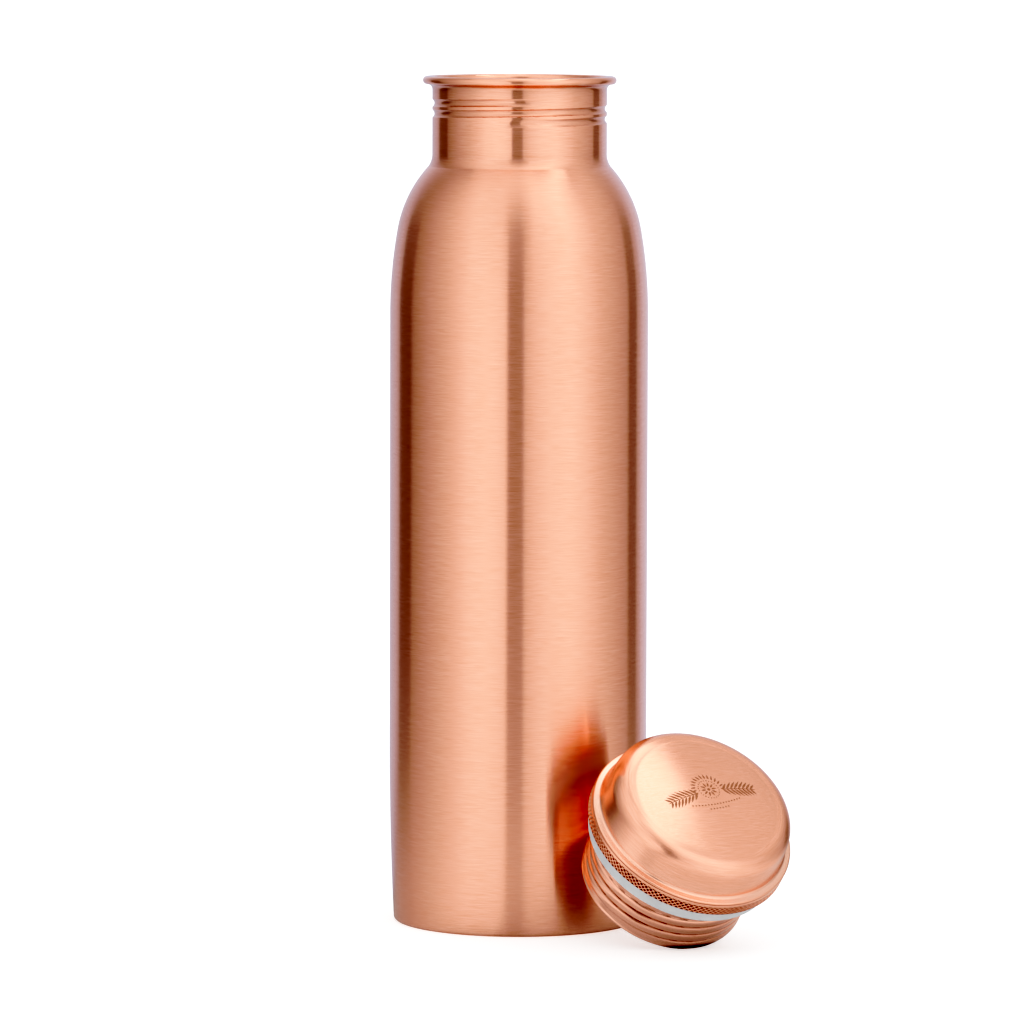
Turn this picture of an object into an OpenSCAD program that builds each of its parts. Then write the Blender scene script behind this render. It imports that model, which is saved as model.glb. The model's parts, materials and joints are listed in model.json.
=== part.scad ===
// Copper water bottle: a spun body with a threaded neck, and a screw lid with a silicone seal.
// The lid is off the bottle. It leans at the bottle's foot with its plug end down.
// Millimetres, +Z up. The origin is the middle of the bottle's foot, on the surface it stands on.

/* [Body] */
// Outer diameter of the straight wall
body_d = 74; // [70:1:80]
// Height of the bottle without its lid
bottle_h = 243; // [235:1:270]
// Thickness of the spun copper
wall = 0.7; // [0.5:0.1:0.9]
// Height where the slow taper of the foot ends
taper_h = 50; // [30:5:80]
// Radius of curvature of that taper
taper_r = 1000; // [800:50:1500]
// Radius of the bottom corner
corner_r = 1.2; // [1:0.1:2]
// Depth of the hollow under the base
base_recess = 3.2; // [2:0.1:5]

/* [Shoulder] */
// Radius of curvature where the shoulder leaves the wall
slow_r = 140; // [120:5:150]
// Angle that this slow curve turns through
slow_angle = 10; // [8:0.5:11]
// Radius of curvature of the rest of the shoulder
quick_r = 36; // [34:0.5:38]

/* [Neck] */
// Height from the crease on the shoulder to the top of the lip
neck_h = 25.7; // [24:0.1:30]
// Outer diameter of the neck
neck_d = 50; // [49.6:0.1:50.4]
// Diameter of the mouth's bore
mouth_d = 48.8; // [48.6:0.1:49]
// Diameter of the crease where the neck meets the shoulder
crease_d = 52.2; // [51.6:0.1:53]
// Radius of the hollow curve above that crease
crease_fillet_r = 6; // [4:0.5:7]
// Outer diameter of the rolled lip
lip_d = 55.4; // [54.8:0.1:56]
// Thickness of the rolled lip
lip_t = 2.3; // [2:0.1:2.5]
// Radius of the hollow curve under the lip
lip_fillet_r = 1.5; // [1.2:0.1:1.8]
// Radius of the round from the lip's top into the bore
lip_inner_r = 1.2; // [0.8:0.1:1.4]

/* [Thread] */
// Rise of the thread in one turn
pitch = 3; // [2.8:0.1:3.2]
// Turns of thread pressed into the neck
neck_turns = 2.15; // [1.5:0.05:2.4]
// Depth of the groove on the outside of the neck
groove_depth = 0.6; // [0.3:0.05:0.7]
// Height of the ridge inside the neck
ridge_h = 0.5; // [0.3:0.05:0.6]
// Turns of thread on the plug
plug_turns = 3.9; // [3:0.1:4]
// Height of the plug's thread
plug_ridge_h = 0.7; // [0.5:0.05:0.75]

/* [Lid] */
// Diameter of the knurled grip
grip_d = 59; // [58.8:0.1:60]
// Height of the knurled grip
grip_h = 3.8; // [3.2:0.1:4]
// Diamonds around the grip
grip_teeth = 120; // [90:1:120]
// Depth of each diamond
knurl_depth = 0.35; // [0.2:0.05:0.45]
// Thickness of the dome's copper
dome_t = 0.8; // [0.6:0.1:0.9]
// Diameter of the dome across its rounded edge
dome_d = 53.2; // [52.4:0.1:53.4]
// Height of that rounded edge's centre above the grip's underside
dome_mid_h = 11.2; // [10.6:0.1:12]
// Radius of the dome's rounded edge
dome_edge_r = 4.5; // [4:0.1:5]
// Lean of the dome's side, which widens towards the grip
side_lean = 7; // [4:1:9]
// Radius of curvature of the dome's top
crown_r = 190; // [150:10:300]
// Radius of the hollow at the foot of that side
cove_r = 0.8; // [0.6:0.1:1.2]
// Slope of the land between that hollow and the rim
land_slope = 10; // [8:1:13]

/* [Plug] */
// Diameter of the plug between its threads
plug_d = 46.9; // [46.6:0.1:47]
// Length of the plug below the grip
plug_h = 21.8; // [21:0.1:24]
// Thickness of the plug's sleeve
plug_t = 0.7; // [0.5:0.1:0.9]
// How far the plug's end rim stands out
rim_step = 0.25; // [0.1:0.05:0.3]
// How deep the plug's end disc sits in it
disc_recess = 1.2; // [0.6:0.1:2]

/* [Seal] */
// Outer diameter of the seal
seal_d = 55.6; // [55:0.1:57]
// Height of the seal
seal_h = 5.1; // [4.5:0.1:6]
// Free play between the seal and the plug
seal_play = 0.35; // [0.3:0.05:0.4]

/* [Place of the lid] */
// Lean of the lid's axis away from upright
lid_tilt = 41.8; // [38:0.1:44]
// Compass angle that the dome faces
lid_facing = -60.7; // [-65:0.1:-55]
// Compass angle of the lid around the bottle
lid_bearing = -46.8; // [-50:0.1:-44]
// Distance from the bottle's wall to the middle of the grip's underside
lid_reach = 32.3; // [32.2:0.1:36]

/* [Hidden] */

$fn = 96;
steps = 48;          // straight stretches in one turn of thread
fade_steps = 8;      // stretches over which a thread's end runs out
overlap = 0.3;       // how far a thread is sunk into the wall that carries it
seat_gap = 0.15;     // between the seal and the grip above it
plug_edge_r = 0.5;
disc_t = 0.8;
disc_skirt_h = 3;
foot_w = 1;          // flat ring that the bottle stands on

body_r = body_d / 2;
mouth_r = mouth_d / 2;
neck_r = neck_d / 2;
lip_r = lip_d / 2;
grip_r = grip_d / 2;
plug_r = plug_d / 2;
plug_rim_r = plug_r + rim_step;
crease_h = bottle_h - neck_h;

// Centres of the arcs of the body's outline, as [radius, height]
taper_c = [body_r - taper_r, taper_h];
corner_c = [taper_c.x + sqrt(pow(taper_r - corner_r, 2) - pow(taper_h - corner_r, 2)), corner_r];
taper_angle = asin((taper_h - corner_r) / (taper_r - corner_r));
quick_x = body_r - (slow_r - quick_r) * (1 - cos(slow_angle)) - quick_r;
crease_angle = acos((crease_d / 2 - quick_x) / quick_r);
quick_c = [quick_x, crease_h - quick_r * sin(crease_angle)];
slow_c = [body_r - slow_r, quick_c.y - (slow_r - quick_r) * sin(slow_angle)];

// Centres of the arcs of the neck's outline
crease_sweep = acos(1 - (crease_d / 2 - neck_r) / crease_fillet_r);
crease_fillet_c = [neck_r + crease_fillet_r, crease_h + crease_fillet_r * sin(crease_sweep)];
bead_r = lip_t / 2;
bead_c = [lip_r - bead_r, bottle_h - bead_r];
lip_fillet_x = neck_r + lip_fillet_r;
lip_fillet_c = [lip_fillet_x,
                bead_c.y - sqrt(pow(bead_r + lip_fillet_r, 2) - pow(bead_c.x - lip_fillet_x, 2))];
lip_fillet_sweep = acos((lip_fillet_x - bead_c.x) / (bead_r + lip_fillet_r));

// The neck's thread starts a little left of the front and rises to the right
neck_thread_angle = -110;
neck_thread_h = bottle_h - 13.1;

// Centres of the arcs of the dome's outline, in the lid's own frame
side_normal = [cos(side_lean), sin(side_lean)];
land_normal = [sin(land_slope), cos(land_slope)];
dome_rim_r = dome_t / 2;
dome_rim_c = [grip_r - dome_rim_r, grip_h + dome_rim_r];
edge_c = [dome_d / 2 - dome_edge_r, dome_mid_h];
crown_c = [0, edge_c.y - sqrt(pow(crown_r - dome_edge_r, 2) - pow(edge_c.x, 2))];
crown_angle = acos(edge_c.x / (crown_r - dome_edge_r));
// The hollow touches the side and the land, which fixes how far its centre lies along both their normals
along_side = side_normal * edge_c + dome_edge_r + cove_r;
along_land = land_normal * dome_rim_c + dome_rim_r + cove_r;
cove_c = [along_side * land_normal.y - along_land * side_normal.y,
          along_land * side_normal.x - along_side * land_normal.x] / cos(side_lean + land_slope);

// The plug's thread starts just above its end
plug_thread_angle = -70;
plug_thread_h = -plug_h + 1.2;

// The lid's lean puts the rounded end of its plug on the floor
lid_h = (plug_h - plug_edge_r) * cos(lid_tilt) + (plug_rim_r - plug_edge_r) * sin(lid_tilt) + plug_edge_r;
lid_out = body_r + lid_reach;

copper = "#d08a63";
dull_copper = "#b9754f";
silicone = "#d9dde0";

function reversed(list) = [for (i = [len(list) - 1:-1:0]) list[i]];

// Points of an arc about a centre, from one angle to another
function arc(centre, radius, from, to, count) =
    [for (i = [0:count]) let (a = from + (to - from) * i / count) centre + radius * [cos(a), sin(a)]];

// Angle where the shoulder, set in by a depth, reaches the mouth's bore
function mouth_angle(depth) = acos((mouth_r - quick_c.x) / (quick_r - depth));

// The part of the shoulder that the neck stands on
function shoulder_seat(depth) = arc(quick_c, quick_r - depth, crease_angle, mouth_angle(depth), 3);

// The body's outline from the foot to the mouth, set in by a depth
function body_side(depth) = concat(
    arc(corner_c, corner_r - depth, -90, -taper_angle, 5),
    arc(taper_c, taper_r - depth, -taper_angle, 0, 8),
    arc(slow_c, slow_r - depth, 0, slow_angle, 8),
    arc(quick_c, quick_r - depth, slow_angle, crease_angle, 10),
    shoulder_seat(depth));

// The dome's outline from the middle of the top down to the land, set in by a depth
function dome_side(depth) = concat(
    arc(crown_c, crown_r - depth, 90, crown_angle, 6),
    arc(edge_c, dome_edge_r - depth, crown_angle, side_lean, 12),
    arc(cove_c, cove_r + depth, 180 + side_lean, 270 - land_slope, 8));

// A closed solid through rings or slices of points that all have the same count
module skinned(slices, closed = false) {
    size = len(slices[0]);
    count = len(slices);
    last = closed ? count - 1 : count - 2;
    quads = [for (i = [0:last], j = [0:size - 1])
        let (k = (j + 1) % size, n = (i + 1) % count)
        [i * size + j, i * size + k, n * size + k, n * size + j]];
    sides = [for (q = quads, t = [[0, 1, 2], [0, 2, 3]]) [q[t[0]], q[t[1]], q[t[2]]]];
    caps = closed ? [] : [[for (j = [size - 1:-1:0]) j], [for (j = [0:size - 1]) (count - 1) * size + j]];
    polyhedron([for (slice = slices, point = slice) point], concat(sides, caps));
}

// A slice of a turned shape: its [radius, height] points stood up at one angle
function turned(outline, angle) = [for (p = outline) [p.x * cos(angle), p.x * sin(angle), p.y]];

// A screw thread from a sunk base radius to a crest radius, fading out at both ends
module thread(base_r, surface_r, crest_r, base_w, crest_w, turns, from) {
    count = round(turns * steps);
    side = sign(crest_r - base_r);
    skinned([for (i = [0:count])
        let (fade = min(1, i / fade_steps, (count - i) / fade_steps),
             hidden_r = surface_r - side * overlap / 2,
             r = hidden_r + (crest_r - hidden_r) * fade,
             mid = pitch * i / steps,
             outline = [[base_r, mid - side * base_w / 2], [r, mid - side * crest_w / 2],
                        [r, mid + side * crest_w / 2], [base_r, mid + side * base_w / 2]])
        turned(outline, from + 360 * i / steps)]);
}

// Spun body, open at the mouth, with a turned-in foot
module body_shell() {
    foot = [[corner_c.x - foot_w, wall], [corner_c.x - foot_w, 0]];
    color(copper)
    rotate_extrude()
    polygon(concat(foot, body_side(0), reversed(body_side(wall))));
}

// Dished disc that closes the bottom from inside
module base_disc() {
    rim_r = corner_c.x;
    step_r = corner_c.x - foot_w - 0.6;
    rise = base_recess - wall;
    underside = [[0, base_recess], [step_r - rise, base_recess], [step_r, wall], [rim_r, wall]];
    color(dull_copper)
    rotate_extrude()
    polygon(concat(underside, [for (p = reversed(underside)) [p.x, p.y + wall]]));
}

// Threaded neck with its rolled lip, brazed onto the shoulder
module neck_collar() {
    outside = concat(
        reversed(arc(crease_fillet_c, crease_fillet_r, 180, 180 + crease_sweep, 6)),
        arc(lip_fillet_c, lip_fillet_r, 180, lip_fillet_sweep, 6),
        arc(bead_c, bead_r, lip_fillet_sweep - 180, 90, 12));
    inside = arc([mouth_r + lip_inner_r, bottle_h - lip_inner_r], lip_inner_r, 90, 180, 6);
    color(copper)
    difference() {
        union() {
            rotate_extrude()
            polygon(concat(outside, inside, reversed(shoulder_seat(0))));
            translate([0, 0, neck_thread_h])
            thread(mouth_r + overlap, mouth_r, mouth_r - ridge_h, 2.4, 0.9, neck_turns, neck_thread_angle);
        }
        translate([0, 0, neck_thread_h])
        thread(neck_r + overlap, neck_r, neck_r - groove_depth, 2.4, 0.6, neck_turns, neck_thread_angle);
    }
}

// Puts a piece made about the lid's own axis where the lid leans
module at_lid() {
    translate([lid_out * cos(lid_bearing), lid_out * sin(lid_bearing), lid_h])
    rotate([0, lid_tilt, lid_facing])
    children();
}

// Spun dome, closed at the top, with the land that rests on the grip ring
module lid_dome() {
    rim = arc(dome_rim_c, dome_rim_r, 90 - land_slope, -90, 6);
    color(copper)
    at_lid()
    rotate_extrude()
    polygon(concat(dome_side(0), rim, [[seat_edge().x, grip_h]], reversed(dome_side(dome_t))));
}

// Where the dome's underside meets the outer edge of the grip ring's sloping top
function seat_edge() = [(land_normal * dome_rim_c + dome_rim_r - dome_t - land_normal.y * grip_h)
                        / land_normal.x, grip_h];

// The grip ring's sloping top, from its outer edge inwards, along the end of the dome's underside
function grip_seat() = let (side = dome_side(dome_t), end = len(side) - 1)
    concat([seat_edge()], [for (i = [0:2]) side[end - i]]);

// Height of the grip ring's top where it meets the plug's sleeve
function grip_top_h() = grip_seat()[3].y;

// Turned ring under the dome with diamond knurling on its edge
module grip_ring() {
    rows = 4;
    columns = 2 * grip_teeth;
    top_h = grip_top_h();
    function pit(column, row) = row > 0 && row < rows && (column + row) % 2 == 0 ? knurl_depth : 0;
    function slice(column) = concat(
        [[plug_r, top_h], [plug_r, 0]],
        [for (row = [0:rows]) [grip_r - pit(column, row), grip_h * row / rows]],
        grip_seat());
    color(copper)
    at_lid()
    skinned([for (column = [0:columns - 1]) turned(slice(column), 360 * column / columns)], closed = true);
}

// Threaded sleeve that screws into the neck
module plug_sleeve() {
    end = -plug_h;
    rim_c = [plug_rim_r - plug_edge_r, end + plug_edge_r];
    inner_r = plug_r - plug_t;
    outline = concat(
        [[inner_r, end], [inner_r, grip_top_h()], [plug_r, grip_top_h()], [plug_r, end + 2 * plug_edge_r]],
        reversed(arc(rim_c, plug_edge_r, -90, 0, 8)));
    color(dull_copper)
    at_lid()
    union() {
        rotate_extrude()
        polygon(outline);
        translate([0, 0, plug_thread_h])
        thread(plug_r - overlap, plug_r, plug_r + plug_ridge_h, 2.4, 0.9, plug_turns, plug_thread_angle);
    }
}

// Cup that closes the end of the plug
module plug_disc() {
    outer_r = plug_r - plug_t;
    low = -plug_h + disc_recess;
    outline = concat(
        [[0, low], [outer_r - 1, low]],
        arc([outer_r - 1, low + 1], 1, -90, 0, 6),
        [[outer_r, low + disc_skirt_h], [outer_r - disc_t, low + disc_skirt_h],
         [outer_r - disc_t, low + disc_t], [0, low + disc_t]]);
    color(dull_copper)
    at_lid()
    rotate_extrude()
    polygon(outline);
}

// Silicone ring that the lip presses against
module seal_ring() {
    round_r = 0.8;
    inner_r = plug_r + seal_play;
    mid_r = seal_d / 2 - round_r;
    outline = concat(
        [[inner_r, -seat_gap], [inner_r, -seal_h]],
        arc([mid_r, -seal_h + round_r], round_r, -90, 0, 6),
        arc([mid_r, -seat_gap - round_r], round_r, 0, 90, 6));
    color(silicone)
    at_lid()
    rotate_extrude()
    polygon(outline);
}

body_shell();
base_disc();
neck_collar();
lid_dome();
grip_ring();
plug_sleeve();
plug_disc();
seal_ring();
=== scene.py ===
"""Looks of the copper water bottle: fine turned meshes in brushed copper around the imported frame.

Lengths in the outlines are millimetres. Everything that Blender gets is in metres.
"""

import json
import math

import bpy
import numpy as np
from mathutils import Matrix, Vector


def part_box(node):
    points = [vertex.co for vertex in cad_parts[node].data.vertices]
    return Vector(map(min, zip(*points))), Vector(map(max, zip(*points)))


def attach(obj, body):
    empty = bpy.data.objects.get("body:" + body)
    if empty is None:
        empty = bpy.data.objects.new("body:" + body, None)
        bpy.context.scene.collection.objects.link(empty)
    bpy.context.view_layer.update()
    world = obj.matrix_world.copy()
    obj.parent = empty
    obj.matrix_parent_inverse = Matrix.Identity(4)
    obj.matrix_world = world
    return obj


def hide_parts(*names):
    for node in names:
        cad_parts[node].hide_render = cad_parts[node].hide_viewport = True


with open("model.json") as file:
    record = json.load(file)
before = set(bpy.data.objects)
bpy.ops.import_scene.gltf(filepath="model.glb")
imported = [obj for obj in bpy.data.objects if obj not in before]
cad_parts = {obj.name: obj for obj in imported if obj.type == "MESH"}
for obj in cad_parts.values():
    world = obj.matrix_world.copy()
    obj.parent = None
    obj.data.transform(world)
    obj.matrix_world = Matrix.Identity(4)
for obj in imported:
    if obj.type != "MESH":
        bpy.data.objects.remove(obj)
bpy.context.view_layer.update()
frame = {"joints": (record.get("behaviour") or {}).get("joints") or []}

MM = 0.001

# ---------------------------------------------------------------- sizes

BODY_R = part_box("body_shell")[1].x / MM
LIP_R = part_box("neck_collar")[1].x / MM
BOTTLE_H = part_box("neck_collar")[1].z / MM

# Bottle
WALL = 0.7
CORNER_R = 1.2
FOOT_W = 1
TAPER_H = 50
TAPER_R = 1000
SLOW_R = 140
SLOW_ANGLE = 10
QUICK_R = 36
CREASE_R = 26.1
CREASE_H = BOTTLE_H - 25.7
CREASE_FILLET_R = 6
NECK_R = 25
MOUTH_R = 24.4
LIP_BEAD_R = 1.15
LIP_FILLET_R = 1.5
LIP_INNER_R = 1.2
BASE_RECESS = 3.2

# Lid, from the underside of the grip upwards
GRIP_R = 29.5
GRIP_H = 3.8
GRIP_TEETH = 120
GRIP_ROWS = 2
KNURL_DEPTH = 0.6
KNURL_LOW = 0.2
KNURL_HIGH = 2.9
DOME_T = 0.8
DOME_R = 26.6
DOME_MID_H = 11.2
DOME_EDGE_R = 4.5
CROWN_R = 190
SIDE_LEAN = 7
COVE_R = 0.8
LAND_SLOPE = 10
PLUG_R = 23.45
PLUG_T = 0.7
PLUG_END_H = -21.8
PLUG_RIM_R = 23.7
PLUG_EDGE_R = 0.5
PLUG_RECESS = 1.2
DISC_T = 0.8
SEAL_R = 27.8
SEAL_PLAY = 0.35
SEAL_LOW = -5.1
SEAL_TOP = -0.15
SEAL_ROUND = 0.8

# Threads
PITCH = 3
FADE_TURNS = 1 / 6

# Meshes
RELIEF_STEP = 0.1
SHARP_ANGLE = 40

lid_turn = next(joint for joint in frame["joints"] if joint["name"] == "lid_turn")
lid_axis = Vector(lid_turn["axis"]).normalized()
LID_PLACE = (
    Matrix.Translation(lid_turn["pos_m"])
    @ Matrix.Rotation(math.atan2(lid_axis.y, lid_axis.x), 4, "Z")
    @ Matrix.Rotation(math.acos(lid_axis.z), 4, "Y")
)
UPRIGHT = Matrix.Identity(4)

# ---------------------------------------------------------------- outlines


def cosine(degrees):
    return math.cos(math.radians(degrees))


def sine(degrees):
    return math.sin(math.radians(degrees))


def arc(centre, radius, start, end, count):
    """Points of an arc about a centre, from one angle in degrees to another."""
    return [(centre[0] + radius * cosine(a), centre[1] + radius * sine(a))
            for a in np.linspace(start, end, count + 1)]


def fine(start, end):
    """Points close together on a straight stretch, for a surface that carries relief."""
    count = math.ceil(math.dist(start, end) / RELIEF_STEP)
    return [tuple(point) for point in np.linspace(start, end, count + 1)]


def joined(*stretches):
    """One outline from single points and lists of points.

    A straight run between two of them gets a point near each of its ends, which keeps it shaded flat.
    """
    support = 0.12
    same_place = 1e-4
    points = []
    for stretch in stretches:
        stretch = [stretch] if isinstance(stretch, tuple) else stretch
        gap = math.dist(points[-1], stretch[0]) if points else 0
        if gap > 4 * support:
            last = points[-1]
            for share in (support / gap, 1 - support / gap):
                points.append(tuple(a + (b - a) * share for a, b in zip(last, stretch[0])))
        points += stretch[1:] if points and gap < same_place else stretch
    return points


def body_outline():
    """The spun body with its wall, from the foot up the outside and down the inside."""
    taper_c = (BODY_R - TAPER_R, TAPER_H)
    rise = TAPER_H - CORNER_R
    corner_c = (taper_c[0] + math.sqrt((TAPER_R - CORNER_R) ** 2 - rise ** 2), CORNER_R)
    taper_angle = math.degrees(math.asin(rise / (TAPER_R - CORNER_R)))
    quick_x = BODY_R - (SLOW_R - QUICK_R) * (1 - cosine(SLOW_ANGLE)) - QUICK_R
    crease_angle = math.degrees(math.acos((CREASE_R - quick_x) / QUICK_R))
    quick_c = (quick_x, CREASE_H - QUICK_R * sine(crease_angle))
    slow_c = (BODY_R - SLOW_R, quick_c[1] - (SLOW_R - QUICK_R) * sine(SLOW_ANGLE))

    def side(depth):
        mouth_angle = math.degrees(math.acos((MOUTH_R - quick_x) / (QUICK_R - depth)))
        return joined(
            arc(corner_c, CORNER_R - depth, -90, -taper_angle, 8),
            arc(taper_c, TAPER_R - depth, -taper_angle, 0, 24),
            arc(slow_c, SLOW_R - depth, 0, SLOW_ANGLE, 20),
            arc(quick_c, QUICK_R - depth, SLOW_ANGLE, crease_angle, 32),
            arc(quick_c, QUICK_R - depth, crease_angle, mouth_angle, 6))

    foot_r = corner_c[0] - FOOT_W
    return joined((foot_r, WALL), (foot_r, 0), side(0), side(WALL)[::-1])


def neck_outline():
    """The neck with its rolled lip, up the outside and down the bore."""
    sweep = math.degrees(math.acos(1 - (CREASE_R - NECK_R) / CREASE_FILLET_R))
    crease_c = (NECK_R + CREASE_FILLET_R, CREASE_H + CREASE_FILLET_R * sine(sweep))
    bead_c = (LIP_R - LIP_BEAD_R, BOTTLE_H - LIP_BEAD_R)
    fillet_x = NECK_R + LIP_FILLET_R
    reach = LIP_BEAD_R + LIP_FILLET_R
    fillet_c = (fillet_x, bead_c[1] - math.sqrt(reach ** 2 - (bead_c[0] - fillet_x) ** 2))
    fillet_sweep = math.degrees(math.acos((fillet_x - bead_c[0]) / reach))
    inner_c = (MOUTH_R + LIP_INNER_R, BOTTLE_H - LIP_INNER_R)
    thread_low = BOTTLE_H - 15.5
    thread_high = BOTTLE_H - 4.2
    seat_h = CREASE_H + 1.2
    return joined(
        arc(crease_c, CREASE_FILLET_R, 180 + sweep, 180, 16),
        fine((NECK_R, thread_low), (NECK_R, thread_high)),
        arc(fillet_c, LIP_FILLET_R, 180, fillet_sweep, 14),
        arc(bead_c, LIP_BEAD_R, fillet_sweep - 180, 90, 24),
        arc(inner_c, LIP_INNER_R, 90, 180, 12),
        fine((MOUTH_R, thread_high), (MOUTH_R, thread_low)),
        (MOUTH_R, seat_h), (CREASE_R, CREASE_H))


def base_outline():
    """The dished disc in the bottom."""
    rim_r = BODY_R - 2.4
    step_r = rim_r - FOOT_W - 0.6
    rise = BASE_RECESS - WALL
    upper_bend_r = 2
    lower_bend_r = 1
    under = joined(
        (0, BASE_RECESS),
        arc((step_r - rise, BASE_RECESS - upper_bend_r), upper_bend_r, 90, 45, 6),
        arc((step_r, WALL + lower_bend_r), lower_bend_r, 225, 270, 4),
        (rim_r, WALL))
    return joined(under, [(r, h + WALL) for r, h in under[::-1]])


def dome_outline():
    """The spun dome, from the middle of its top down to the land on the grip, and back inside."""
    normals = np.array([(cosine(SIDE_LEAN), sine(SIDE_LEAN)), (sine(LAND_SLOPE), cosine(LAND_SLOPE))])
    rim_r = DOME_T / 2
    rim_c = (GRIP_R - rim_r, GRIP_H + rim_r)
    edge_c = (DOME_R - DOME_EDGE_R, DOME_MID_H)
    crown_reach = CROWN_R - DOME_EDGE_R
    crown_c = (0, edge_c[1] - math.sqrt(crown_reach ** 2 - edge_c[0] ** 2))
    crown_angle = math.degrees(math.acos(edge_c[0] / crown_reach))
    # The hollow touches the side and the land
    distances = (normals[0] @ edge_c + DOME_EDGE_R + COVE_R, normals[1] @ rim_c + rim_r + COVE_R)
    cove_c = np.linalg.solve(normals, distances)

    def side(depth):
        return joined(
            arc(crown_c, CROWN_R - depth, 90, crown_angle, 24),
            arc(edge_c, DOME_EDGE_R - depth, crown_angle, SIDE_LEAN, 28),
            arc(cove_c, COVE_R + depth, 180 + SIDE_LEAN, 270 - LAND_SLOPE, 14))

    rim = arc(rim_c, rim_r, 90 - LAND_SLOPE, -90, 12)
    return joined(side(0), rim, side(DOME_T)[::-1])


def grip_outline():
    """The knurled ring: bore, underside, knurled edge with its broken corners, and sloping seat."""
    broken = 0.15
    seat_edge_r = GRIP_R - DOME_T / 2
    seat_w = 1.4
    top_h = GRIP_H + seat_w * math.tan(math.radians(LAND_SLOPE))
    return joined(
        (PLUG_R, top_h), (PLUG_R, 0),
        arc((GRIP_R - broken, broken), broken, -90, 0, 3),
        fine((GRIP_R, broken), (GRIP_R, GRIP_H - broken)),
        arc((GRIP_R - broken, GRIP_H - broken), broken, 0, 90, 3),
        (seat_edge_r, GRIP_H), (seat_edge_r - seat_w, top_h))


def plug_outline():
    """The threaded sleeve with its rounded end rim."""
    inner_r = PLUG_R - PLUG_T
    rim_c = (PLUG_RIM_R - PLUG_EDGE_R, PLUG_END_H + PLUG_EDGE_R)
    thread_high = -5
    thread_low = PLUG_END_H + 2 * PLUG_EDGE_R
    return joined(
        (inner_r, PLUG_END_H), (inner_r, GRIP_H), (PLUG_R, GRIP_H),
        fine((PLUG_R, thread_high), (PLUG_R, thread_low)),
        arc(rim_c, PLUG_EDGE_R, 0, -90, 10))


def plug_disc_outline():
    """The cup that closes the end of the plug."""
    outer_r = PLUG_R - PLUG_T
    inner_r = outer_r - DISC_T
    low = PLUG_END_H + PLUG_RECESS
    floor_h = low + DISC_T
    high = low + 3
    outer_bend_r = 1
    inner_bend_r = 0.6
    return joined(
        (0, low),
        arc((outer_r - outer_bend_r, low + outer_bend_r), outer_bend_r, -90, 0, 10),
        (outer_r, high), (inner_r, high),
        arc((inner_r - inner_bend_r, floor_h + inner_bend_r), inner_bend_r, 0, -90, 6),
        (0, floor_h))


def seal_outline():
    """The silicone ring."""
    bore_round = 0.3
    bore_x = PLUG_R + SEAL_PLAY + bore_round
    mid_r = SEAL_R - SEAL_ROUND
    return joined(
        arc((bore_x, SEAL_TOP - bore_round), bore_round, 90, 180, 5),
        arc((bore_x, SEAL_LOW + bore_round), bore_round, 180, 270, 5),
        arc((mid_r, SEAL_LOW + SEAL_ROUND), SEAL_ROUND, -90, 0, 12),
        arc((mid_r, SEAL_TOP - SEAL_ROUND), SEAL_ROUND, 0, 90, 12))


# ---------------------------------------------------------------- relief on turned pieces


def thread_relief(height, width, turns, from_angle, from_h, fullness=2):
    """A helical thread as a rise of the surface: from 0 at its foot to height along its crest.

    A higher fullness makes the crest broader and its flanks steeper.
    """
    def relief(angle, h):
        part_turn = ((np.degrees(angle) - from_angle) % 360) / 360
        whole_turns = np.round((h - from_h) / PITCH - part_turn)
        along = part_turn + whole_turns
        off_crest = h - from_h - along * PITCH
        shape = np.clip(1 - np.abs(2 * off_crest / width) ** fullness, 0, 1)
        fade = np.clip(np.minimum(along, turns - along) / FADE_TURNS, 0, 1)
        return height * shape * fade * fade * (3 - 2 * fade)
    return relief


def pressed_thread(angle, h, r):
    """The neck's thread, pressed in from outside: a groove on the neck and a ridge in the bore."""
    course = dict(width=2.2, turns=2.15, from_angle=-110, from_h=BOTTLE_H - 13.1)
    groove = thread_relief(height=0.6, **course)
    ridge = thread_relief(height=0.5, **course)
    return np.where(r > (NECK_R + MOUTH_R) / 2, -groove(angle, h), -ridge(angle, h))


def plug_thread(angle, h, r):
    """The plug's rolled thread, broad at its crest with a narrow valley between the turns."""
    ridge = thread_relief(height=0.7, width=2.9, turns=3.9, from_angle=-70, from_h=PLUG_END_H + 1.2,
                          fullness=3.5)
    return np.where(r > PLUG_R - PLUG_T / 2, ridge(angle, h), 0)


def knurl(angle, h, r):
    """Diamond knurling: rows of pits between two crossing sets of ridges, with a plain margin above.

    The value across runs from -1 on a ridge to 1 in the middle of a pit.
    """
    crest, floor, tolerance = -2 / 3, 1 / 6, 0.01
    turn = GRIP_TEETH * angle
    row = 2 * math.pi * GRIP_ROWS * (h - KNURL_LOW) / (KNURL_HIGH - KNURL_LOW)
    across = np.minimum(np.cos(turn + row), np.cos(turn - row))
    pit = np.clip((across - crest) / (floor - crest), 0, 1)
    on_edge = (r > GRIP_R - tolerance) & (h > KNURL_LOW) & (h < KNURL_HIGH)
    return np.where(on_edge, -KNURL_DEPTH * pit, 0)


# ---------------------------------------------------------------- meshes


def mesh_object(name, points, faces, place):
    """A smooth-shaded object from points in millimetres in their own frame, moved to its place."""
    mesh = bpy.data.meshes.new(name)
    moved = np.asarray(points) * MM @ np.array(place.to_3x3()).T + np.array(place.to_translation())
    mesh.from_pydata(moved.tolist(), [], faces)
    mesh.validate()
    mesh.shade_smooth()
    mesh.set_sharp_from_angle(angle=math.radians(SHARP_ANGLE))
    made = bpy.data.objects.new(name, mesh)
    bpy.context.scene.collection.objects.link(made)
    return made


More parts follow.
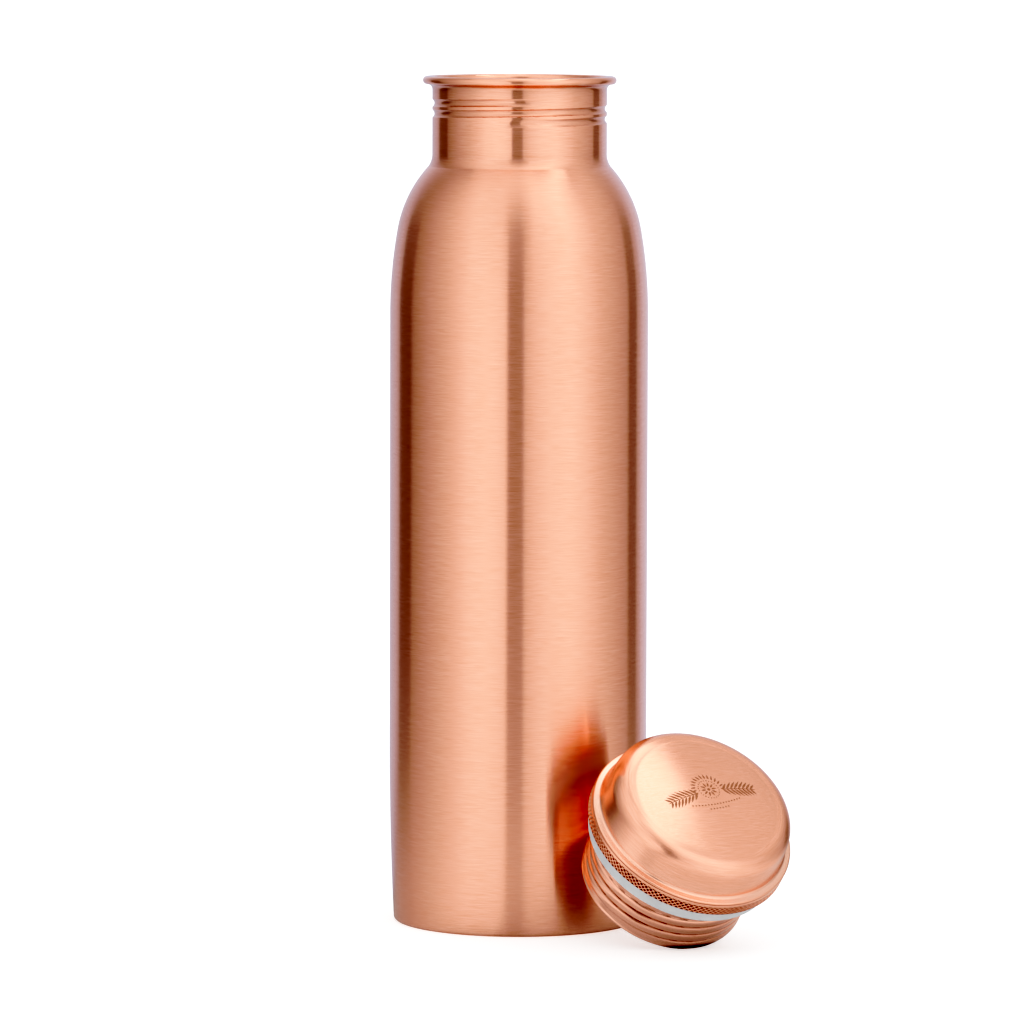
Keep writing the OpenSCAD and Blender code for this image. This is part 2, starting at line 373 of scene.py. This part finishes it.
def turned(name, outline, columns, place=UPRIGHT, relief=None):
    """A closed solid turned from a closed outline of (radius, height) points, listed anticlockwise."""
    radius, height = np.array(outline).T
    angle = np.linspace(0, 2 * math.pi, columns, endpoint=False)
    r = np.repeat(radius[:, None], columns, axis=1)
    h = np.repeat(height[:, None], columns, axis=1)
    a = np.repeat(angle[None, :], len(outline), axis=0)
    if relief:
        r = r + relief(a, h, r)
    points = np.stack([r * np.cos(a), r * np.sin(a), h], axis=-1)

    rows = [[row * columns + column for column in range(columns)] for row in range(len(outline))]
    for row, value in enumerate(radius):
        if value == 0:
            rows[row] = [row * columns] * columns
    faces = []
    for row in range(len(outline)):
        low, high = rows[row], rows[(row + 1) % len(outline)]
        for column in range(columns):
            after = (column + 1) % columns
            face = dict.fromkeys((low[column], low[after], high[after], high[column]))
            if len(face) > 2:
                faces.append(tuple(face))

    used = sorted({corner for face in faces for corner in face})
    number = {corner: index for index, corner in enumerate(used)}
    faces = [tuple(number[corner] for corner in face) for face in faces]
    return mesh_object(name, points.reshape(-1, 3)[used], faces, place)


def etched_dot(radius, corners=8):
    """The outline of a small round dot about the origin."""
    return np.array(arc((0, 0), radius, 0, 360 - 360 / corners, corners - 1))


def etched_leaf(length, width):
    """The outline of a pointed leaf along +X from the origin, widest a little nearer to its foot."""
    share = np.linspace(0, 1, 7)
    half = width / 2 * np.sin(math.pi * share ** 0.8)
    top = list(zip(length * share, half))
    low = list(zip(length * share[-2:0:-1], -half[-2:0:-1]))
    return np.array(top + low)


def placed(outline, at, degrees, mirrored=False):
    """A flat outline turned and moved in the ornament's plane, and mirrored across its middle."""
    turn = np.array([[cosine(degrees), -sine(degrees)], [sine(degrees), cosine(degrees)]])
    moved = outline @ turn.T + np.array(at)
    return moved[::-1] * (-1, 1) if mirrored else moved


def on_ring(outline, ring_r, degrees, tilt=0):
    """An outline moved out to a ring about the origin, pointing outwards or tilted from that."""
    return placed(outline, (ring_r * cosine(degrees), ring_r * sine(degrees)), degrees + tilt)


def rosette():
    """A round heart with petals, in a ring of dots under a fan of slanting leaves."""
    petals, dots = 10, 24
    petal = etched_leaf(length=1.7, width=0.6)
    fan_leaf = etched_leaf(length=1.8, width=0.55)
    outlines = [etched_dot(0.5, corners=12)]
    outlines += [on_ring(petal, 0.9, 360 * number / petals) for number in range(petals)]
    outlines += [on_ring(etched_dot(0.2), 3.2, 360 * number / dots) for number in range(dots)]
    outlines += [on_ring(fan_leaf, 3.9, degrees, tilt=18) for degrees in range(-8, 189, 14)]
    return outlines


def leafy_branches():
    """Two branches of paired leaves that droop towards their tips, each the mirror image of the other."""
    first_x, gap = 4.4, 1.27
    stem_h, droop = -0.6, 0.008
    spread = 48
    stem = etched_leaf(length=1.7, width=0.3)
    outlines = []
    for pair in range(8):
        x = first_x + gap * pair
        at = (x, stem_h - droop * x * x)
        # The droop's slope is close to 1 degree for each millimetre out
        slope = -x
        leaf = etched_leaf(length=2.3 + 1.5 * sine(20 + 22 * pair), width=0.7)
        sprigs = [placed(leaf, at, slope + side) for side in (spread, -spread)]
        sprigs.append(placed(stem, at, slope))
        outlines += sprigs + [placed(sprig, (0, 0), 0, mirrored=True) for sprig in sprigs]
    return outlines


def dotted_rows():
    """A long and a short row of dots, a millimetre apart, that rise a little towards their ends."""
    rise = 0.012
    return [placed(etched_dot(0.26), (number, row_h + rise * number ** 2), 0)
            for row_h, half_count in ((-5.4, 8), (-6.9, 3))
            for number in range(-half_count, half_count + 1)]


def etching(name, place):
    """A generic laurel with a rosette, as a thin etched skin on the dome's crown."""
    proud, sunk = 0.02, 0.1
    middle, lean = (1.2, 1.9), 6
    crown_reach = CROWN_R - DOME_EDGE_R
    crown_centre_h = DOME_MID_H - math.sqrt(crown_reach ** 2 - (DOME_R - DOME_EDGE_R) ** 2)
    points, faces = [], []
    for outline in rosette() + leafy_branches() + dotted_rows():
        # The lid leans so that its own +Y runs to the right and its -X runs up
        across, up = placed(outline, middle, lean).T
        flat = np.stack([-up, across], axis=-1)
        h = crown_centre_h + np.sqrt(CROWN_R ** 2 - (flat ** 2).sum(axis=1))
        first, size = len(points), len(flat)
        points += [(x, y, z - sunk) for (x, y), z in zip(flat, h)]
        points += [(x, y, z + proud) for (x, y), z in zip(flat, h)]
        faces.append(tuple(range(first + size, first + 2 * size)))
        faces.append(tuple(range(first + size - 1, first - 1, -1)))
        for corner in range(size):
            after = (corner + 1) % size
            faces.append((first + corner, first + after, first + size + after, first + size + corner))
    return mesh_object(name, points, faces, place)


# ---------------------------------------------------------------- materials


def add(tree, kind, inputs=None, **settings):
    """Adds a shader node. An input is a value or another node's output, under its name or number."""
    node = tree.nodes.new("ShaderNode" + kind)
    for setting, value in settings.items():
        setattr(node, setting, value)
    for socket, value in (inputs or {}).items():
        if isinstance(value, bpy.types.NodeSocket):
            tree.links.new(value, node.inputs[socket])
        else:
            node.inputs[socket].default_value = value
    return node


def blank_material(name):
    """A material and its emptied node tree."""
    material = bpy.data.materials.new(name)
    material.use_nodes = True
    material.node_tree.nodes.clear()
    return material, material.node_tree


def finished(tree, surface):
    """Makes a shader the material's surface."""
    add(tree, "OutputMaterial", {"Surface": surface})


def own_frame(tree, place):
    """Where a point is in the frame that its piece is turned in."""
    at = add(tree, "TexCoord").outputs["Object"]
    inputs = {"Vector": at, "Location": place.to_translation(), "Rotation": place.to_euler()}
    return add(tree, "Mapping", inputs, vector_type="TEXTURE").outputs[0]


def polar(tree, own):
    """The part of a place on the XY plane, its radius and its height."""
    parts = add(tree, "SeparateXYZ", {0: own}).outputs
    flat = add(tree, "CombineXYZ", {"X": parts["X"], "Y": parts["Y"]}).outputs[0]
    radius = add(tree, "VectorMath", {0: flat}, operation="LENGTH").outputs["Value"]
    return flat, radius, parts["Z"]


def noise(tree, at, scale=1.0, detail=2.0):
    """Blender's noise at a place."""
    return add(tree, "TexNoise", {"Vector": at, "Scale": scale, "Detail": detail}).outputs["Fac"]


def spun_noise(tree, own, length, width):
    """Noise drawn out in rings round the piece's own Z axis, as brushing or spinning leaves it."""
    flat, radius, height = polar(tree, own)
    rows = add(tree, "Math", {0: height, 1: radius}, operation="SUBTRACT").outputs[0]
    across = add(tree, "Math", {0: rows, 1: 1 / (width * MM)}, operation="MULTIPLY").outputs[0]
    upwards = add(tree, "CombineXYZ", {"Z": across}).outputs[0]
    around = add(tree, "VectorMath", {0: flat, "Scale": 1 / (length * MM)}, operation="SCALE").outputs[0]
    drawn = add(tree, "VectorMath", {0: around, 1: upwards}, operation="ADD").outputs[0]
    return noise(tree, drawn)


def straight_noise(tree, own, length, width):
    """Noise drawn out along the piece's own Y axis, as brushing a flat face leaves it."""
    stretch = (1 / (width * MM), 1 / (length * MM), 1 / (width * MM))
    drawn = add(tree, "VectorMath", {0: own, 1: stretch}, operation="MULTIPLY").outputs[0]
    return noise(tree, drawn)


def cloud(tree, size):
    """Soft blotches of a size in millimetres."""
    at = add(tree, "TexCoord").outputs["Object"]
    return noise(tree, at, scale=1 / (size * MM), detail=3.0)


def ranged(tree, value, low, high, from_low=0.3, from_high=0.7):
    """A value spread to run from low to high. Noise mostly keeps to the limits from 0.3 to 0.7."""
    return add(tree, "MapRange", {"Value": value, "From Min": from_low, "From Max": from_high,
                                  "To Min": low, "To Max": high}).outputs["Result"]


# The numbers of a Mix node's two inputs and its output for each kind of value, since their names repeat
MIX_SOCKETS = {"FLOAT": (2, 3, 0), "VECTOR": (4, 5, 1), "RGBA": (6, 7, 2)}


def blended(tree, factor, first, second, kind="RGBA"):
    """A mix of two colours, vectors or numbers, each a value or another node's output."""
    low, high, result = MIX_SOCKETS[kind]
    mix = add(tree, "Mix", {"Factor": factor}, data_type=kind)
    for socket, value in ((mix.inputs[low], first), (mix.inputs[high], second)):
        if isinstance(value, bpy.types.NodeSocket):
            tree.links.new(value, socket)
        else:
            socket.default_value = (*value, 1) if kind == "RGBA" else value
    return mix.outputs[result]


def beyond(tree, own, radius):
    """0 inside a radius in millimetres about the piece's axis, and 1 a little way outside it."""
    fade = 2
    return ranged(tree, polar(tree, own)[1], 0, 1, radius * MM, (radius + fade) * MM)


def strokes(tree, own, length, width, flat_r):
    """Brush strokes round the piece's axis, or straight across its middle out to a radius."""
    spun = spun_noise(tree, own, length, width)
    if not flat_r:
        return spun
    straight = straight_noise(tree, own, length, width)
    return blended(tree, beyond(tree, own, flat_r), straight, spun, "FLOAT")


def stroke_direction(tree, own, place, flat_r):
    """The direction that those brush strokes run in."""
    parts = add(tree, "SeparateXYZ", {0: own}).outputs
    minus_y = add(tree, "Math", {0: parts["Y"], 1: -1.0}, operation="MULTIPLY").outputs[0]
    direction = add(tree, "CombineXYZ", {"X": minus_y, "Y": parts["X"]}).outputs[0]
    if flat_r:
        direction = blended(tree, beyond(tree, own, flat_r), (0, flat_r * MM, 0), direction, "VECTOR")
    placed_direction = add(tree, "Mapping", {"Vector": direction, "Rotation": place.to_euler()},
                           vector_type="VECTOR").outputs[0]
    return add(tree, "VectorTransform", {0: placed_direction}, vector_type="VECTOR",
               convert_from="OBJECT", convert_to="WORLD").outputs[0]


# Factors on a copper's red, green and blue in its darker and its lighter streaks
DARKER = (0.92, 0.86, 0.81)
LIGHTER = (1.03, 1.07, 1.10)


def copper(name, colour, roughness, streak, anisotropy, place=UPRIGHT, painted_hollow_shading=None, reach=1.0, flat_r=0):
    """Brushed copper: fine streaks, soft blotches of tone, and a highlight drawn out across the streaks.

    Hollows narrower than a reach in millimetres take the painted shading colour that is given: painted
    shade where it is darker than the copper, painted light where it is lighter. The strokes run round the
    piece's axis, and straight across its middle out to the radius flat_r in millimetres.
    """
    material, tree = blank_material(name)
    own = own_frame(tree, place)
    hair = strokes(tree, own, length=4.5, width=0.15, flat_r=flat_r)
    band = strokes(tree, own, length=18, width=0.7, flat_r=flat_r)
    tone = cloud(tree, size=18)
    darker = tuple(c * k for c, k in zip(colour, DARKER))
    lighter = tuple(min(1, c * k) for c, k in zip(colour, LIGHTER))
    streaked = blended(tree, ranged(tree, hair, 0, 1), darker, lighter)
    banded = blended(tree, ranged(tree, band, 0, 0.3), streaked, darker)
    coloured = blended(tree, ranged(tree, tone, 0, 0.3), banded, colour)
    # Painted shading: where ambient occlusion finds a hollow, the colour turns to the given painted shade
    # or painted light
    if painted_hollow_shading:
        open_to_air = add(tree, "AmbientOcclusion", {"Distance": reach * MM}, samples=8).outputs["AO"]
        share = ranged(tree, open_to_air, low=0.95, high=0, from_low=0.5, from_high=0.95)
        coloured = blended(tree, share, coloured, painted_hollow_shading)
    rough = ranged(tree, hair, roughness * 0.9, roughness * 1.15)
    bump = add(tree, "Bump", {"Strength": streak, "Distance": 0.01 * MM, "Height": hair})
    soft = add(tree, "Bump", {"Strength": streak * 0.5, "Distance": 0.03 * MM, "Height": band,
                              "Normal": bump.outputs[0]})
    shader = add(tree, "BsdfPrincipled", {
        "Base Color": coloured, "Metallic": 1.0, "Roughness": rough, "Normal": soft.outputs[0],
        "Tangent": stroke_direction(tree, own, place, flat_r),
        "Anisotropic": anisotropy, "Anisotropic Rotation": 0.25})
    finished(tree, shader.outputs[0])
    return material


def silicone(name):
    """Milky silicone rubber with a fine moulded grain. Its grey is partly the rubber's own tone and partly
    painted shade, for the shadow under the grip.
    """
    material, tree = blank_material(name)
    tone = cloud(tree, size=6)
    grain = cloud(tree, size=0.25)
    # The grey base colour holds painted shade as well as the rubber's own tone
    colour = blended(tree, ranged(tree, tone, 0, 1), (0.43, 0.445, 0.455), (0.49, 0.505, 0.515))
    bump = add(tree, "Bump", {"Strength": 0.25, "Distance": 0.02 * MM, "Height": grain})
    shader = add(tree, "BsdfPrincipled", {
        "Base Color": colour, "Roughness": ranged(tree, grain, 0.42, 0.58), "Normal": bump.outputs[0],
        "Subsurface Weight": 0.25, "Subsurface Radius": (0.002, 0.002, 0.002), "Subsurface Scale": 1.0})
    finished(tree, shader.outputs[0])
    return material


COPPER = (0.93, 0.505, 0.385)
DULL = (0.92, 0.52, 0.41)
ETCHED = (0.45, 0.24, 0.17)
BODY_COPPER = copper("brushed_copper", COPPER, roughness=0.21, streak=0.3, anisotropy=1.0)
# The neck darkens to painted shade in its hollows, such as the crease at the shoulder and the thread's
# grooves
NECK_COPPER = copper("neck_copper", COPPER, roughness=0.16, streak=0.3, anisotropy=1.0,
                     painted_hollow_shading=(0.38, 0.23, 0.18), reach=6)
# The lid's pale hollow colour is painted light: it lightens the cove between the dome's side and the land
LID_COPPER = copper("satin_copper", COPPER, roughness=0.2, streak=0.2, anisotropy=0.9,
                    place=LID_PLACE, painted_hollow_shading=(0.97, 0.73, 0.62), reach=6, flat_r=20)
# The knurl's pits darken to painted shade
GRIP_COPPER = copper("knurled_copper", COPPER, roughness=0.24, streak=0.1, anisotropy=0.3,
                     place=LID_PLACE, painted_hollow_shading=(0.45, 0.22, 0.16), reach=0.8)
# The plug's thread valleys darken to painted shade between the turns
PLUG_COPPER = copper("dull_copper", DULL, roughness=0.17, streak=1.0, anisotropy=0.7,
                     place=LID_PLACE, painted_hollow_shading=(0.16, 0.06, 0.04), reach=1.8)
ETCHED_COPPER = copper("etched_copper", ETCHED, roughness=0.5, streak=0.1, anisotropy=0.0,
                       place=LID_PLACE)
SILICONE = silicone("milky_silicone")

# ---------------------------------------------------------------- the bottle and its lid

PIECES = [
    # name, outline, columns, place, relief, body, material slot, material
    ("body_shell", body_outline(), 384, UPRIGHT, None, "bottle", "copper_body", BODY_COPPER),
    ("base_disc", base_outline(), 256, UPRIGHT, None, "bottle", "copper_inner", BODY_COPPER),
    ("neck_collar", neck_outline(), 512, UPRIGHT, pressed_thread, "bottle", "copper_neck", NECK_COPPER),
    ("lid_dome", dome_outline(), 384, LID_PLACE, None, "lid", "copper_lid", LID_COPPER),
    ("grip_ring", grip_outline(), 1440, LID_PLACE, knurl, "lid", "copper_grip", GRIP_COPPER),
    ("plug_sleeve", plug_outline(), 384, LID_PLACE, plug_thread, "lid", "copper_plug", PLUG_COPPER),
    ("plug_disc", plug_disc_outline(), 256, LID_PLACE, None, "lid", "copper_inner", PLUG_COPPER),
    ("seal_ring", seal_outline(), 256, LID_PLACE, None, "seal", "silicone_seal", SILICONE),
]

for node, outline, columns, place, relief, body, slot, material in PIECES:
    piece = turned("fine_" + node, outline, columns, place, relief)
    piece.data.materials.append(material)
    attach(piece, body)
    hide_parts(node)

mark = etching("dome_etching", LID_PLACE)
mark.data.materials.append(ETCHED_COPPER)
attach(mark, "lid")

# ---------------------------------------------------------------- studio


def glow(name, attribute, shade_reach=0):
    """A light-giving surface whose points hold its colour, darker within a reach in metres of an object."""
    material, tree = blank_material(name)
    colour = add(tree, "Attribute", attribute_name=attribute).outputs["Color"]
    light = add(tree, "Emission", {"Color": colour})
    if shade_reach:
        open_to_light = add(tree, "AmbientOcclusion", {"Distance": shade_reach}, samples=4).outputs["AO"]
        strength = ranged(tree, open_to_light, low=0.12, high=1, from_low=0, from_high=1)
        tree.links.new(strength, light.inputs["Strength"])
    finished(tree, light.outputs[0])
    return material


def studio_floor():
    """A wide pale table, lit through from below."""
    half = 30
    mesh = bpy.data.meshes.new("floor")
    corners = [(-half, -half, 0), (half, -half, 0), (half, half, 0), (-half, half, 0)]
    mesh.from_pydata(corners, [], [(0, 1, 2, 3)])
    floor = bpy.data.objects.new("floor", mesh)
    bpy.context.scene.collection.objects.link(floor)
    material, tree = blank_material("pale_floor")
    shader = add(tree, "BsdfPrincipled", {
        "Base Color": (0.82, 0.82, 0.82, 1), "Roughness": 0.6, "Specular IOR Level": 0.1,
        "Emission Color": (1, 1, 1, 1), "Emission Strength": 0.45})
    finished(tree, shader.outputs[0])
    mesh.materials.append(material)
    floor.visible_glossy = False


# The soft tent round the table, which shows only as a reflection. Each profile is one zone's light by
# azimuth in degrees: 0 is the camera's side and positive is to the right. On the wall a softbox stands on
# each side, with a dark gap for the camera between them and a dark flag behind each. The other zones have
# less of these.
TABLE = [(-160, 0.55), (-142, 0.54), (-130, 0.38), (-118, 0.36), (-104, 0.50), (-84, 0.65), (-60, 0.86),
         (-40, 1.06), (-24, 1.06), (-13, 0.85), (-9, 0.58), (0, 0.56), (4, 0.62), (8, 0.82), (20, 1.00),
         (40, 1.10), (60, 1.00), (84, 0.72), (104, 0.54), (120, 0.40), (130, 0.42), (142, 0.62),
         (160, 0.65)]
NEAR = [(-160, 0.55), (-130, 0.42), (-84, 0.68), (-40, 1.02), (-13, 0.98), (-8, 0.78), (2, 0.78),
        (8, 0.92), (40, 1.05), (84, 0.74), (125, 0.42), (160, 0.65)]
WALL = [(-160, 0.55), (-142, 0.58), (-133, 0.48), (-130, 0.26), (-126, 0.20), (-111, 0.18), (-107, 0.34),
        (-96, 0.44), (-72, 0.68), (-58, 0.84), (-46, 1.05), (-30, 1.16), (-18, 1.12), (-11, 1.04),
        (-9, 0.36), (3, 0.36), (5, 0.76), (14, 0.90), (26, 1.06), (48, 1.12), (62, 0.98), (76, 0.78),
        (96, 0.62), (110, 0.50), (114, 0.26), (126, 0.26), (129, 0.46), (142, 0.66), (160, 0.66)]
HIGH = [(-160, 0.70), (-143, 0.52), (-125, 0.34), (-105, 0.42), (-75, 0.71), (-44, 1.08), (-18, 0.98),
        (-10, 0.60), (0, 0.50), (7, 0.66), (14, 0.98), (44, 1.26), (62, 1.08), (75, 0.86), (105, 0.60),
        (122, 0.46), (132, 0.54), (148, 0.66), (165, 0.66)]
SLOPE = [(-180, 0.90), (-150, 0.70), (-120, 0.38), (-98, 0.62), (-54, 1.08), (-20, 1.00), (0, 0.88),
         (20, 1.20), (50, 1.34), (66, 1.10), (85, 0.82), (112, 0.82), (125, 0.75), (150, 0.72)]
CEILING = [(-180, 1.50), (-150, 1.05), (-110, 0.70), (-84, 0.95), (-30, 1.04), (0, 1.10), (30, 1.34),
           (84, 1.60), (110, 1.80), (150, 1.65)]
OVERHEAD = [(-180, 1.50), (-150, 1.05), (-110, 0.70), (-84, 0.95), (-30, 1.04), (0, 1.10), (35, 1.15),
            (60, 0.80), (125, 0.80), (150, 1.40)]

# Radius and height in metres, and the light there, from the middle of the table outwards and up
ON_TABLE = 0.0002
TABLE_ROWS = [
    (0.03, ON_TABLE, NEAR), (0.18, ON_TABLE, NEAR), (0.26, ON_TABLE, TABLE), (0.45, ON_TABLE, TABLE)]
WALL_ROWS = [
    (0.45, ON_TABLE, WALL), (0.55, 0.16, WALL), (1.2, 0.55, HIGH), (1.5, 1.9, SLOPE), (1.17, 2.2, SLOPE),
    (1.16, 2.2, CEILING), (0.88, 2.35, CEILING), (0.78, 2.36, OVERHEAD), (0.4, 2.4, OVERHEAD)]

# Behind the flags the light turns cooler below this height in metres, over these degrees of azimuth
COOL_BELOW = 1
COOL_FROM = 128
COOL_FULL = 138
COOL_TINT = np.array((-0.08, 0, 0.2))


def studio_tent():
    """The tent, as one mesh with its light stored at its points."""
    tent_rows = TABLE_ROWS + WALL_ROWS
    azimuths = sorted({azimuth for _, _, profile in tent_rows for azimuth, _ in profile})
    count = len(azimuths)
    points, shades = [], []
    for radius, height, profile in tent_rows:
        known, light = zip(*profile)
        for azimuth, value in zip(azimuths, np.interp(azimuths, known, light, period=360)):
            points.append((radius * sine(azimuth), -radius * cosine(azimuth), height))
            coolness = np.clip((abs(azimuth) - COOL_FROM) / (COOL_FULL - COOL_FROM), 0, 1)
            shades.append(value * (1 + coolness * COOL_TINT * (height < COOL_BELOW)))
    faces = [(row + i, row + (i + 1) % count, row + count + (i + 1) % count, row + count + i)
             for row in range(0, len(points) - count, count) for i in range(count)]
    faces.append(tuple(range(len(points) - count, len(points))))
    mesh = bpy.data.meshes.new("tent")
    mesh.from_pydata(points, [], faces)
    attribute = mesh.color_attributes.new("light", "FLOAT_COLOR", "POINT")
    for corner, shade in zip(attribute.data, shades):
        corner.color = (*shade, 1)
    mesh.materials.append(glow("tent_light", "light"))
    mesh.materials.append(glow("table_light", "light", shade_reach=0.05))
    for polygon in mesh.polygons[:(len(TABLE_ROWS) - 1) * count]:
        polygon.material_index = 1
    tent = bpy.data.objects.new("tent", mesh)
    bpy.context.scene.collection.objects.link(tent)
    tent.visible_camera = False
    tent.visible_diffuse = False
    tent.visible_shadow = False


def studio_world():
    """Even white light from all round."""
    world = bpy.data.worlds.new("studio")
    world.use_nodes = True
    tree = world.node_tree
    tree.nodes.clear()
    light = add(tree, "Background", {"Color": (1, 1, 1, 1), "Strength": 1.0})
    add(tree, "OutputWorld", {"Surface": light.outputs[0]})
    bpy.context.scene.world = world


def studio_camera():
    """A long lens that looks a little down on the bottle."""
    at = (0, -1.8181, 0.2876)
    pitch, yaw, roll = (math.radians(degrees) for degrees in (-5.331, -0.0595, 0.1531))
    data = bpy.data.cameras.new("camera")
    data.lens = 223.32
    data.sensor_width = 36
    data.clip_start = 0.1
    data.clip_end = 100
    camera = bpy.data.objects.new("camera", data)
    camera.matrix_world = (
        Matrix.Translation(at)
        @ Matrix.Rotation(-yaw, 4, "Z")
        @ Matrix.Rotation(math.pi / 2 + pitch, 4, "X")
        @ Matrix.Rotation(roll, 4, "Z"))
    bpy.context.scene.collection.objects.link(camera)
    bpy.context.scene.camera = camera


def print_tones():
    """The contrast of a studio print: shadows go deeper and lights brighter, and the whites stay."""
    settings = bpy.context.scene.view_settings
    settings.view_transform = "Standard"
    settings.use_curve_mapping = True
    mapping = settings.curve_mapping
    combined = 3
    tones = mapping.curves[combined].points
    for light, shown in ((0.1, 0.005), (0.2, 0.118), (0.4, 0.40), (0.6, 0.652), (0.8, 0.876)):
        tones.new(light, shown)
    mapping.update()


studio_floor()
studio_tent()
studio_world()
studio_camera()

print_tones()
